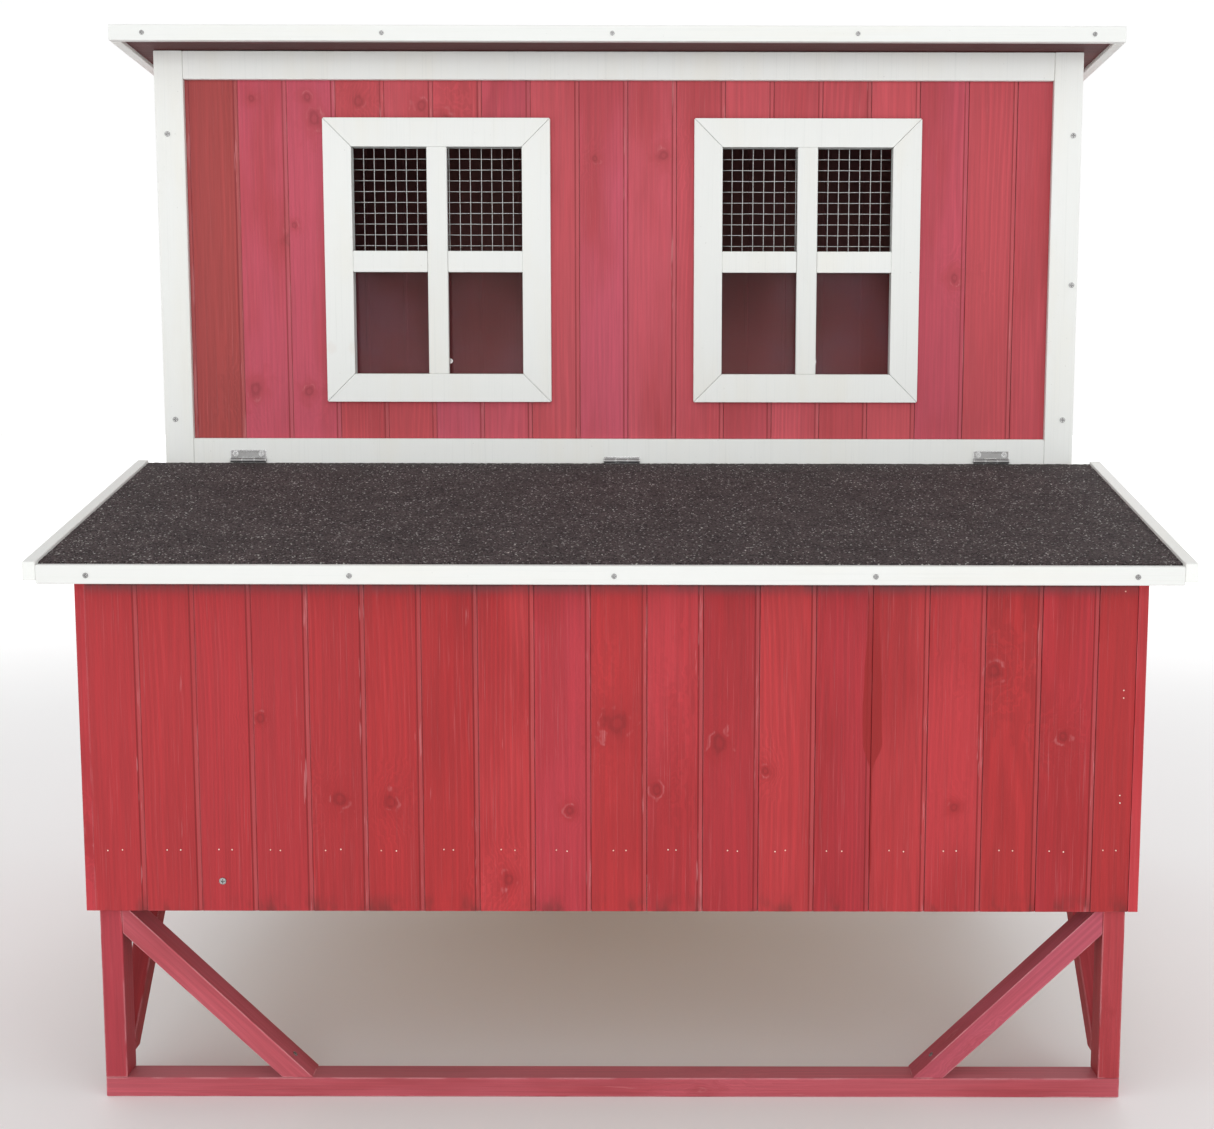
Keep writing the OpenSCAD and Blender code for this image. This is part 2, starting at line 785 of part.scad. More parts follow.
module door_frame() {
    g = door_gap;
    w = door_y1 - door_y - 2 * g;
    h = door_h - 2 * g;
    color(WHITE) {
        translate([half_w, door_y + g, door_z + g]) rotate([0, 0, 90]) mitred_frame(w, h, trim_w, trim_t);
        translate([inner_x, door_y + 2 * g, 0]) for (z = [door_z + 90, door_z + door_h - 130])
            block([-18, 0], [0, w - 2 * g], [z, z + 40]);
    }
}

module door_hinge_leaves() {
    color(ZINC) door_hinge_places() rotate([0, 90, 90]) mirror([0, 0, 1])
        hinge_leaf(false, door_pivot_x - half_w);
}

// Barrel bolt: plate and two loops on the door, rod withdrawn at rest
bolt_y = door_y + door_gap + 4;

module bolt_plate() {
    y = [bolt_y, bolt_y + 56];
    color(ZINC) {
        block([half_w, half_w + 1.2], y, [bolt_z - 12, bolt_z + 12]);
        difference() {
            for (loop_y = [y[0] + 3, y[0] + 45])
                block([half_w + 1.2, bolt_x + bolt_r + 1.5], [loop_y, loop_y + 8], [bolt_z - 5, bolt_z + 5]);
            translate([bolt_x, y[0] - 1, bolt_z]) rotate([-90, 0, 0])
                cylinder(r = bolt_r + pin_fit, h = 60, $fn = ROUND);
        }
    }
}

module bolt_rod() {
    color(ZINC) union() {
        translate([bolt_x, bolt_y + 1, bolt_z]) rotate([-90, 0, 0]) cylinder(r = bolt_r, h = 76, $fn = ROUND);
        translate([bolt_x, bolt_y + 40, bolt_z]) rotate([0, 90, 0]) cylinder(r = 2, h = 16, $fn = ROUND);
        translate([bolt_x + 16, bolt_y + 40, bolt_z]) sphere(r = 4, $fn = ROUND);
    }
}

module bolt_keeper() {
    y = [door_y - 22, door_y - 8];
    color(ZINC) {
        difference() {
            block([half_w, bolt_x + bolt_r + 2.2], y, [bolt_z - 6, bolt_z + 6]);
            translate([bolt_x, y[0] - 1, bolt_z]) rotate([-90, 0, 0])
                cylinder(r = bolt_r + 0.6, h = 20, $fn = ROUND);
        }
        for (z = [bolt_z - 14, bolt_z + 6]) block([half_w, half_w + 1.2], y, [z, z + 8]);
    }
}

// ---- Pop door and ramp ----

module pop_door_panel() {
    w = (pop_x1 - pop_x0) / 2 + pop_lap;
    x0 = pop_mid - w;
    edges = [x0, pop_x0 + board_pitch / 2, pop_x0 + board_pitch * 1.5, pop_x0 + board_pitch * 2.5,
        pop_x0 + board_pitch * 3.5, pop_mid + w];
    color(RED) translate([0, back_y + board_t + 0.3, ledge_z + gap]) mirror([0, 1, 0])
        for (k = [0:len(edges) - 2]) board(edges[k], edges[k + 1], [0, pop_h + 10]);
}

module pop_door_grip() {
    y = back_y + board_t + 0.3;
    color(WHITE) block([pop_mid - 45, pop_mid + 45], [y, y + 6], [ledge_z + 230, ledge_z + 248]);
}

module on_ramp() {
    translate([pop_mid, pivot_y, pivot_z]) rotate([-ramp_angle, 0, 0]) children();
}

module ramp_plank() {
    color(RED) on_ramp() for (k = [-1, 0, 1])
        block([(2 * k - 1) * ramp_w / 6 + seam, (2 * k + 1) * ramp_w / 6 - seam],
            [ramp_start, ramp_len], [-ramp_t - leaf_t / 2, -leaf_t / 2]);
}

module ramp_cleats() {
    n = 6;
    first = 48;
    step = (ramp_len - 30 - first) / (n - 1);
    color(WHITE) on_ramp() for (k = [0:n - 1]) {
        y = first + k * step;
        block([-ramp_w / 2 + 8, ramp_w / 2 - 8], [y - 7, y + 7], [-leaf_t / 2, 7 - leaf_t / 2]);
    }
}

module ramp_hinge_leaves() {
    color(ZINC) ramp_hinge_places() rotate([-90 - ramp_angle, 0, 0]) hinge_leaf(false, leaf_t / 2);
}

// ---- Assembly ----

front_bottom_rail();
rear_bottom_rail();
front_legs();
rear_legs();
front_braces();
rear_braces();
side_braces();
floor_bearers();
nest_floor();
cabin_floor();
nest_front_boards();
nest_side_boards();
nest_batten();
nest_dividers();
nest_lip();
window_wall_boards();
window_wall_trim();
window_frames();
window_muntins();
window_mesh();
window_panes();
pane_screws();
cabin_frame();
left_wall_boards();
left_wall_trim();
right_wall_boards();
right_wall_trim();
back_wall_boards();
back_wall_trim();
pop_door_guides();
landing_ledge();
roof_panel();
roof_felt();
roof_front_fascia();
roof_side_fascias();
roost_bars();
roost_brackets();
tray_runners();
frame_screws();
hinge_fixed_leaves();
hinge_pins();
bolt_keeper();
lid_panel();
lid_felt();
lid_front_fascia();
lid_side_strips();
lid_hinge_leaves();
lid_screws();
door_boards();
door_frame();
door_hinge_leaves();
bolt_plate();
bolt_rod();
pop_door_panel();
pop_door_grip();
ramp_plank();
ramp_cleats();
ramp_hinge_leaves();
dropping_tray();
tray_front();
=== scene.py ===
import math
import random

import bmesh
import bpy
from mathutils import Euler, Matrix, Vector


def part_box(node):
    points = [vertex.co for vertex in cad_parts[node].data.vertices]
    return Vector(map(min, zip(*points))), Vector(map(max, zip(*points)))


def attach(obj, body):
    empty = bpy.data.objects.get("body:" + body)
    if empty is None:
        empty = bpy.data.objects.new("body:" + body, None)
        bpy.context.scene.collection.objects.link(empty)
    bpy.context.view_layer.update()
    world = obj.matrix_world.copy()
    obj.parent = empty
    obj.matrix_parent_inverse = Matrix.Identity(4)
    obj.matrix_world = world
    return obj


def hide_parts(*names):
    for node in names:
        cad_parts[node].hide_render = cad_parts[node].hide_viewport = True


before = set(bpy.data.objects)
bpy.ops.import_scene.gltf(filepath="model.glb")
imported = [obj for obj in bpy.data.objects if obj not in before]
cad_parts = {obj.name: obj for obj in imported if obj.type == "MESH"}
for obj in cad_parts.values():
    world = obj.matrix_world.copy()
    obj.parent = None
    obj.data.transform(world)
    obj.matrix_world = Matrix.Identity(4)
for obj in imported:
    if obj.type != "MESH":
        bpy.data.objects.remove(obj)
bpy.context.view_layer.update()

# Looks of a raised timber chicken coop: red stained boards, white trim, mineral felt and zinc fittings.
# Metres, +Z up, the nest box faces -Y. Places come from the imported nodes, apart from those of knots.

SEED = random.Random(31)
# Thickness of the felt sheets, air between two boards, width of the bevel along a board's right edge
FELT_T = 0.0025
SEAM = 0.0002
BEVEL_W = 0.005
# Faces that meet at a sharper angle than this have an edge between them
CORNER = math.radians(35)


# ---- What the frame says ----

def span(node, axis):
    """Lowest and highest coordinate of a node along one axis."""
    low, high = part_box(node)
    return low[axis], high[axis]


def middle(node, axis):
    return sum(span(node, axis)) / 2


def seams(node, axis):
    """Places where two boards of a node meet: its faces are one seam apart there."""
    places = sorted({round(v.co[axis], 5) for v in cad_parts[node].data.vertices})
    return [(a + b) / 2 for a, b in zip(places, places[1:]) if abs(b - a - SEAM) < SEAM / 3]


def clusters(values, gap):
    """Splits sorted numbers into runs wherever two of them are more than gap apart."""
    runs = [[values[0]]]
    for before, value in zip(values, values[1:]):
        if value - before > gap:
            runs.append([])
        runs[-1].append(value)
    return runs


# ---- A short way to write shader nodes ----

class Graph:
    def __init__(self, name):
        self.material = bpy.data.materials.new(name)
        self.material.use_nodes = True
        self.tree = self.material.node_tree
        self.tree.nodes.clear()
        self.shader = self.tree.nodes.new("ShaderNodeBsdfPrincipled")
        output = self.tree.nodes.new("ShaderNodeOutputMaterial")
        self.tree.links.new(self.shader.outputs[0], output.inputs["Surface"])

    def put(self, socket, value):
        if isinstance(value, bpy.types.NodeSocket):
            self.tree.links.new(value, socket)
        elif value is not None:
            socket.default_value = value

    def node(self, kind, inputs=(), **settings):
        made = self.tree.nodes.new("ShaderNode" + kind)
        for name, value in settings.items():
            setattr(made, name, value)
        for key, value in dict(inputs).items():
            self.put(made.inputs[key], value)
        return made

    def math(self, operation, *values, clamp=False):
        made = self.node("Math", enumerate(values), operation=operation, use_clamp=clamp)
        return made.outputs[0]

    def add(self, a, b):
        return self.math("ADD", a, b)

    def mul(self, a, b):
        return self.math("MULTIPLY", a, b)

    def xyz(self, x=0.0, y=0.0, z=0.0):
        return self.node("CombineXYZ", {"X": x, "Y": y, "Z": z}).outputs[0]

    def split(self, vector):
        return self.node("SeparateXYZ", {0: vector}).outputs

    def noise(self, vector, scale=1.0, detail=3.0, roughness=0.5):
        made = self.node("TexNoise", {"Vector": vector, "Scale": scale, "Detail": detail,
                                      "Roughness": roughness})
        return made.outputs["Fac"]

    def step(self, value, start, end, low=0.0, high=1.0):
        """A smooth step from low at start to high at end."""
        made = self.node("MapRange", {"Value": value, "From Min": start, "From Max": end,
                                      "To Min": low, "To Max": high}, interpolation_type="SMOOTHSTEP")
        return made.outputs[0]

    def mix(self, factor, a, b, blend="MIX"):
        made = self.node("Mix", data_type="RGBA", blend_type=blend)
        self.put(made.inputs[0], factor)
        self.put(made.inputs[6], a)
        self.put(made.inputs[7], b)
        return made.outputs[2]

    def tint(self, colour, amount):
        """Multiplies a colour by a grey amount."""
        made = self.node("VectorMath", {0: colour, 3: amount}, operation="SCALE")
        return made.outputs[0]

    def bump(self, height, distance, strength):
        made = self.node("Bump", {"Height": height, "Distance": distance, "Strength": strength})
        return made.outputs["Normal"]

    def randoms(self, key):
        """Three random numbers for each separate board or stick."""
        island = self.node("NewGeometry").outputs["Random Per Island"]
        made = self.node("TexWhiteNoise", {"W": self.add(self.mul(island, 97.0), key)},
                         noise_dimensions="1D")
        return self.split(made.outputs["Color"])

    def edges(self, radius, amount=1.0):
        """1 on convex edges, falling to 0 a radius away."""
        rounded = self.node("Bevel", {"Radius": radius}, samples=4).outputs[0]
        true = self.node("NewGeometry").outputs["Normal"]
        dot = self.node("VectorMath", {0: rounded, 1: true}, operation="DOT_PRODUCT").outputs["Value"]
        return self.step(dot, 0.995, 0.90, 0.0, amount)

    def finish(self, colour, roughness, normal=None, **constants):
        self.put(self.shader.inputs["Base Color"], colour)
        self.put(self.shader.inputs["Roughness"], roughness)
        self.put(self.shader.inputs["Normal"], normal)
        for name, value in constants.items():
            self.shader.inputs[name.replace("_", " ")].default_value = value
        return self.material


def rgb(r, g, b):
    return (r, g, b, 1.0)


def darker(colour, amount):
    return rgb(*(part * amount for part in colour[:3]))


# ---- Wood ----

class Grain:
    """Wood coordinates for one material: u across the board, d through it, s along it."""

    def __init__(self, graph, along=(0, 0, 1), across=None, fold=None):
        self.graph = graph
        position = graph.node("TexCoord").outputs["Object"]
        if fold:
            axis, centre = fold
            parts = list(graph.split(position))[:3]
            parts[axis] = graph.math("ABSOLUTE", graph.math("SUBTRACT", parts[axis], centre))
            position = graph.xyz(*parts)
        along = Vector(along).normalized()
        if across:
            side = Vector(across)
            through = along.cross(side)
        else:
            # Halfway between two faces of a square stick, so that both show the grain
            helper = Vector((0, 1, 0)) if abs(along.y) < 0.5 else Vector((1, 0, 0))
            first = (helper - along * helper.dot(along)).normalized()
            second = along.cross(first)
            side, through = first + second, first - second
        self.position = position
        self.s = self.dot(position, along)
        self.u = self.dot(position, side)
        self.d = self.dot(position, through)
        self.random = graph.randoms(1.7)
        self.more = graph.randoms(43.1)

    def dot(self, position, direction):
        made = self.graph.node("VectorMath", {0: position, 1: tuple(direction)},
                               operation="DOT_PRODUCT")
        return made.outputs["Value"]

    def board(self, phase, pitch):
        """How far across its own board a point is, from -half to half, for boards on one grid."""
        g = self.graph
        turns = g.math("DIVIDE", g.math("SUBTRACT", self.u, phase), pitch)
        return g.mul(g.math("SUBTRACT", g.math("FRACT", turns), 0.5), pitch)

    def vector(self, across, along):
        """A point scaled for noise: across and along are features per metre."""
        g = self.graph
        shift = g.mul(self.random[0], 40.0)
        return g.xyz(g.add(g.mul(self.u, across), shift), g.mul(self.d, across),
                     g.add(g.mul(self.s, along), shift))


def knots(g, grain, across, per_metre, chance, placed=()):
    """Distance to the nearest knot, in knot radii: knots strewn at random and knots given in a list."""
    cell = 16.0
    plane = g.xyz(g.add(g.mul(across, cell), g.mul(grain.random[1], 300.0)),
                  g.add(g.mul(grain.s, per_metre), g.mul(grain.random[2], 300.0)))
    found = g.node("TexVoronoi", {"Vector": plane, "Scale": 1.0}, voronoi_dimensions="2D")
    away = g.node("VectorMath", {0: plane, 1: found.outputs["Position"]},
                  operation="SUBTRACT").outputs[0]
    scaled = g.node("VectorMath", {0: away, 1: (1 / cell, 0.8 / per_metre, 0)},
                    operation="MULTIPLY").outputs[0]
    distance = g.node("VectorMath", {0: scaled}, operation="LENGTH").outputs["Value"]
    dice = g.split(found.outputs["Color"])
    radius = g.step(dice[0], 0.0, 1.0, 0.003, 0.009)
    absent = g.mul(g.math("GREATER_THAN", dice[1], chance), 1000.0)
    nearest = g.add(g.math("DIVIDE", distance, radius), absent)
    point = g.xyz(grain.u, grain.s)
    for u, s, size in placed:
        local = g.node("VectorMath", {0: point, 1: (1 / size, 0.85 / size, 0),
                                      2: (-u / size, -0.85 * s / size, 0)}, operation="MULTIPLY_ADD")
        reach = g.node("VectorMath", {0: local.outputs[0]}, operation="LENGTH").outputs["Value"]
        nearest = g.math("MINIMUM", nearest, reach)
    uneven = g.noise(grain.vector(95, 75), 1.0, 2.0, 0.5)
    return g.mul(nearest, g.add(0.25, g.mul(uneven, 1.5)))


def year_rings(g, grain, across, knot, ring, lean):
    """Rings of a board sawn off its pith, pushed aside by knots: straight lines and long arches."""
    push = g.mul(g.math("POWER", 2.718, g.mul(g.mul(knot, knot), -0.10)), 0.016)
    wobble = g.mul(g.noise(grain.vector(9, 2.2), 1.0, 2.0), 0.022)
    pith_u = g.step(grain.random[1], 0.0, 1.0, -0.035, 0.035)
    pith_d = g.step(grain.random[2], 0.0, 1.0, 0.004, 0.060)
    tilt = g.mul(g.math("SUBTRACT", grain.more[0], 0.5), lean)
    du = g.math("SUBTRACT", across, pith_u)
    dd = g.add(pith_d, g.mul(tilt, grain.s))
    radius = g.math("SQRT", g.add(g.mul(du, du), g.mul(dd, dd)))
    field = g.add(g.add(radius, push), wobble)
    return g.step(g.math("SINE", g.mul(field, 2 * math.pi / ring)), -0.2, 1.0)


def stained_timber(name, shades, along=(0, 0, 1), across=None, fold=None, grid=None, knot_chance=0.35,
                   worn=0.5, placed=(), end_below=None, end_tone=None, foot=None, painted_shadow_under=None, drip=None,
                   dusty=0.0, painted_shade_facing=None):
    """Softwood under a thin red stain: year rings, knots, streaks, pale nicks and worn edges.

    grid: one groove's place and the pitch of the boards. placed: knots, as place across, height, radius.
    end_below, end_tone: the boards to the left of this place have this tone. foot: level of the bottom
    ends, near which the boards are darker in patches.
    grime: level of the lid's front edge, below which a painted shadow darkens the boards. drip: a dark
    run's place, top and length.
    dusty: how bleached the faces are that look up. bare: the direction that the faces inside the cabin
    look; they are made dark brown as painted shade.
    """
    g = Graph(name)
    grain = Grain(g, along, across, fold)
    over = grain.board(*grid) if grid else g.math("PINGPONG", grain.u, 0.02)
    knot = knots(g, grain, over, 4.0, knot_chance, placed)
    rings = year_rings(g, grain, over, knot, 0.0042, 0.06)
    streaks = g.noise(grain.vector(330, 7), 1.0, 4.0, 0.62)
    fibres = g.noise(grain.vector(1500, 26), 1.0, 2.0, 0.6)
    patches = g.noise(grain.vector(11, 3.2), 1.0, 3.0, 0.55)

    light, middle_tone, deep = shades
    tone = g.mix(g.step(grain.more[1], 0.15, 0.9), middle_tone, light)
    # Some boards took the stain more orange, some more crimson
    hue = g.mix(g.step(grain.random[0], 0.2, 0.8), rgb(1.0, 0.98, 0.88), rgb(0.99, 1.02, 1.12))
    tone = g.mix(1.0, tone, hue, "MULTIPLY")
    tone = g.mix(g.step(patches, 0.44, 0.72, 0.0, 0.8), tone, deep)
    if end_below:
        # The boards at the left end took the stain darker
        left = g.step(grain.u, end_below + 0.001, end_below - 0.001, 0.0, 0.8)
        tone = g.mix(left, tone, end_tone)
    shade = g.add(g.step(streaks, 0.30, 0.70, 0.90, 1.07), g.mul(g.math("SUBTRACT", fibres, 0.5), 0.22))
    shade = g.add(shade, g.mul(g.math("SUBTRACT", grain.more[2], 0.5), 0.10))
    clear = g.noise(grain.vector(14, 1.6), 1.0, 2.0)
    shade = g.add(shade, g.mul(rings, g.step(clear, 0.42, 0.62, 0.015, 0.13)))
    colour = g.tint(tone, shade)
    pale = rgb(0.56, 0.20, 0.21)

    # Hairlines where the stain sank in less
    hairs = g.noise(grain.vector(900, 12), 1.0, 3.0, 0.65)
    hairs = g.mul(g.step(hairs, 0.58, 0.72), g.step(patches, 0.35, 0.65, 0.08, 0.24))
    colour = g.mix(hairs, colour, pale)

    # A knot is a dark eye with faint rings and a broken pale rim, in a dark halo
    eye = g.step(g.add(knot, g.mul(streaks, 0.5)), 1.40, 0.95)
    eye_rings = g.step(g.math("SINE", g.mul(knot, 9.0)), -1.0, 1.0, 0.70, 0.88)
    colour = g.mix(g.step(g.add(knot, g.mul(patches, 2.4)), 4.4, 1.6, 0.0, 0.5), colour, deep)
    colour = g.mix(g.mul(eye, 0.75), colour, g.tint(colour, eye_rings))
    rim = g.mul(g.step(knot, 0.95, 1.2), g.step(knot, 1.6, 1.2))
    rim = g.mul(rim, g.step(g.noise(grain.vector(70, 70), 1.0, 1.0), 0.50, 0.62))
    colour = g.mix(g.mul(rim, g.step(fibres, 0.38, 0.68, 0.10, 0.45)), colour, pale)

    near = 0.03
    if grid:
        # Stain has pooled in the grooves and, more, along the crease where each bevel starts;
        # it is thin on the bevel between them
        right = g.math("SUBTRACT", grid[1] / 2, over)
        groove = g.math("MINIMUM", right, g.math("SUBTRACT", grid[1], right))
        bevel = g.mul(g.step(right, 0.0042, 0.0034), g.step(patches, 0.35, 0.60, 0.04, 0.17))
        colour = g.mix(bevel, colour, pale)
        colour = g.mix(g.step(groove, 0.0013, 0.0004, 0.0, 0.45), colour, darker(deep, 0.75))
        crease = g.math("ABSOLUTE", g.math("SUBTRACT", right, BEVEL_W))
        crease = g.mul(g.step(crease, 0.0013, 0.0003), g.step(streaks, 0.25, 0.60, 0.55, 0.90))
        colour = g.mix(crease, colour, darker(deep, 0.62))
        near = g.step(right, 0.011, 0.004, 0.0, 0.13)
    # Nicks where the stain missed, most of them beside the grooves
    nicks = g.step(g.add(g.noise(grain.vector(170, 11), 1.0, 3.0, 0.7), near), 0.71, 0.79)
    colour = g.mix(g.mul(nicks, 0.45), colour, pale)
    edge = g.mul(g.edges(0.0022), g.step(g.noise(grain.vector(60, 22), 1.0, 3.0), 0.38, 0.56))
    colour = g.mix(g.mul(edge, worn), colour, rgb(0.66, 0.32, 0.34))

    if foot is not None:
        # The boards are darker in patches near their bottom ends
        bottom_patches = g.math("SUBTRACT", g.noise(grain.vector(34, 16), 1.0, 3.0, 0.6), 0.47)
        reach = g.step(g.math("SUBTRACT", grain.s, foot), 0.024, 0.0)
        colour = g.mix(g.mul(reach, g.step(bottom_patches, 0.0, 0.16, 0.0, 0.55)), colour, rgb(0.11, 0.022, 0.020))
    if painted_shadow_under is not None:
        # Painted shadow under the lid's front edge: a dark band on the boards, broken into patches,
        # darkest in a thin strip right behind the edge
        under = g.math("SUBTRACT", painted_shadow_under, grain.s)
        shadow_patches = g.step(g.add(streaks, patches), 0.80, 1.15, 0.45, 1.0)
        behind = g.mul(g.step(under, -0.004, 0.006), shadow_patches)
        shadow_band = g.mul(g.step(under, 0.021, 0.008, 0.0, 0.52), behind)
        colour = g.mix(shadow_band, colour, rgb(0.070, 0.065, 0.075))
        shadow_line = g.mul(g.step(under, 0.0096, 0.0076, 0.0, 0.60), behind)
        colour = g.mix(shadow_line, colour, rgb(0.030, 0.020, 0.022))
    if drip:
        # A run of stain that dried dark beside one groove, with a thin tail down the groove
        centre, top, length = drip
        fall = g.math("DIVIDE", g.math("SUBTRACT", top, grain.s), length)
        width = g.mul(g.step(fall, 0.10, 0.75, 0.004, 0.0085), g.step(fall, 1.0, 0.86))
        width = g.add(width, g.step(fall, 1.55, 1.45, 0.0, 0.0014))
        bend = g.mul(g.noise(g.xyz(0.0, 0.0, g.mul(grain.s, 22.0)), 1.0, 2.0), 0.005)
        off = g.math("ABSOLUTE", g.math("SUBTRACT", g.math("SUBTRACT", grain.u, bend), centre - 0.002))
        run = g.step(g.math("SUBTRACT", off, width), 0.0006, -0.0006)
        run = g.mul(run, g.step(fall, 0.10, 0.50, 0.35, 0.85))
        colour = g.mix(run, colour, rgb(0.270, 0.012, 0.012))
    if dusty:
        # Faces that look up are rubbed and bleached
        up = g.split(g.node("NewGeometry").outputs["Normal"])[2]
        faded = g.mul(g.step(up, 0.80, 0.98), g.step(patches, 0.25, 0.60, 0.55, 1.0))
        colour = g.mix(g.mul(faded, dusty), colour, rgb(0.62, 0.30, 0.33))

    if painted_shade_facing:
        # Painted shade: the faces inside the cabin are made dark brown, standing in for the shade inside
        # it
        true = g.node("NewGeometry").outputs["Normal"]
        inside = g.node("VectorMath", {0: true, 1: painted_shade_facing}, operation="DOT_PRODUCT").outputs["Value"]
        colour = g.mix(g.step(inside, 0.5, 0.9, 0.0, 0.75), colour, rgb(0.110, 0.070, 0.056))

    height = g.add(g.mul(streaks, 0.5), g.mul(fibres, 0.35))
    height = g.add(height, g.mul(rings, 0.22))
    height = g.math("SUBTRACT", height, g.mul(eye, 0.25))
    normal = g.bump(height, 0.0006, 0.55)
    roughness = g.add(0.62, g.mul(g.math("SUBTRACT", streaks, 0.5), 0.25))
    return g.finish(colour, roughness, normal, Specular_IOR_Level=0.28)


def painted_timber(name, along, base=(0.735, 0.748, 0.728)):
    """White paint over softwood: faint grain, bleeding knots, specks of dirt and rubbed edges."""
    g = Graph(name)
    grain = Grain(g, along)
    across = g.math("PINGPONG", grain.u, 0.02)
    streaks = g.noise(grain.vector(420, 6), 1.0, 4.0, 0.6)
    fibres = g.noise(grain.vector(1400, 40), 1.0, 2.0, 0.6)
    patches = g.noise(grain.vector(13, 5), 1.0, 3.0, 0.55)
    knot = knots(g, grain, across, 2.6, 0.22)

    white = rgb(*base)
    cream = rgb(base[0] * 0.985, base[1] * 0.955, base[2] * 0.90)
    grey = rgb(base[0] * 0.86, base[1] * 0.87, base[2] * 0.87)
    colour = g.mix(g.step(patches, 0.45, 0.75, 0.0, 0.55), white, cream)
    colour = g.mix(g.step(streaks, 0.52, 0.78, 0.0, 0.45), colour, grey)
    bleed = g.step(g.add(knot, g.mul(patches, 0.8)), 2.0, 0.9)
    colour = g.mix(g.mul(bleed, 0.16), colour, rgb(0.62, 0.50, 0.43))
    specks = g.step(g.noise(grain.position, 260.0, 2.0, 0.5), 0.755, 0.80)
    colour = g.mix(g.mul(specks, 0.35), colour, rgb(0.36, 0.36, 0.34))
    colour = g.tint(colour, g.add(0.965, g.mul(grain.more[1], 0.05)))
    edge = g.mul(g.edges(0.0016), g.step(g.noise(grain.vector(80, 35), 1.0, 3.0), 0.45, 0.66))
    colour = g.mix(g.mul(edge, 0.35), colour, rgb(0.50, 0.49, 0.45))

    height = g.add(g.mul(streaks, 0.55), g.mul(fibres, 0.25))
    height = g.math("SUBTRACT", height, g.mul(bleed, 0.3))
    normal = g.bump(height, 0.0005, 0.45)
    return g.finish(colour, g.add(0.42, g.mul(streaks, 0.16)), normal, Specular_IOR_Level=0.4)


def bare_timber(name, along, plies=False):
    """Unpainted pine or, with plies, plywood: warm year rings, knots and a dry surface."""
    g = Graph(name)
    grain = Grain(g, along)
    across = grain.u if plies else g.math("PINGPONG", grain.u, 0.06)
    knot = knots(g, grain, across, 3.0, 0.10 if plies else 0.35)
    rings = year_rings(g, grain, across, knot, 0.013 if plies else 0.0045, 0.05)
    if plies:
        rings = g.mul(rings, g.step(g.noise(grain.vector(7, 1.5), 1.0, 2.0), 0.35, 0.65, 0.25, 0.9))
    streaks = g.noise(grain.vector(420, 9), 1.0, 4.0, 0.62)
    colour = g.mix(rings, rgb(0.62, 0.43, 0.24), rgb(0.47, 0.28, 0.13))
    colour = g.mix(g.step(streaks, 0.35, 0.75, 0.0, 0.6), colour, rgb(0.70, 0.53, 0.33))
    eye = g.step(knot, 1.3, 0.9)
    colour = g.mix(g.mul(eye, 0.75), colour, rgb(0.20, 0.09, 0.04))
    colour = g.tint(colour, g.add(0.86, g.mul(grain.more[1], 0.22)))
    if plies:
        layer = g.math("SINE", g.mul(g.split(grain.position)[2], 2 * math.pi / 0.003))
        colour = g.tint(colour, g.step(layer, -1.0, 1.0, 0.93, 1.04))
    normal = g.bump(g.add(g.mul(streaks, 0.6), g.mul(rings, 0.3)), 0.0005, 0.5)
    return g.finish(colour, g.add(0.62, g.mul(streaks, 0.18)), normal, Specular_IOR_Level=0.25)


# ---- Felt, metal and acrylic ----

def mineral_felt(name, edge_y):
    """Bitumen felt under crushed slate: dark grains with pale ones among them, greyer at its edges."""
    g = Graph(name)
    position = g.node("TexCoord").outputs["Object"]
    stones = g.node("TexVoronoi", {"Vector": position, "Scale": 620.0, "Randomness": 1.0})
    dice = g.split(stones.outputs["Color"])
    coarse = g.noise(position, 26.0, 3.0, 0.6)
    fine = g.noise(position, 900.0, 2.0, 0.6)
    dark = g.mix(dice[0], rgb(0.056, 0.043, 0.044), rgb(0.215, 0.165, 0.168))
    pale = g.mix(dice[1], rgb(0.42, 0.38, 0.36), rgb(0.86, 0.83, 0.80))
    rare = g.step(dice[2], 0.93, 0.96)
    colour = g.mix(rare, dark, pale)
    colour = g.tint(colour, g.step(coarse, 0.25, 0.75, 0.82, 1.18))
    y = g.split(position)[1]
    away = g.math("ABSOLUTE", g.math("SUBTRACT", y, edge_y))
    rubbed = g.mul(g.step(away, 0.022, 0.0), g.step(fine, 0.35, 0.62))
    colour = g.mix(g.mul(rubbed, 0.5), colour, rgb(0.13, 0.14, 0.12))
    height = g.add(g.math("SUBTRACT", 1.0, g.mul(stones.outputs["Distance"], 900.0)), fine)
    normal = g.bump(height, 0.0009, 0.8)
    return g.finish(colour, g.step(dice[1], 0.0, 1.0, 0.72, 0.96), normal, Specular_IOR_Level=0.35)


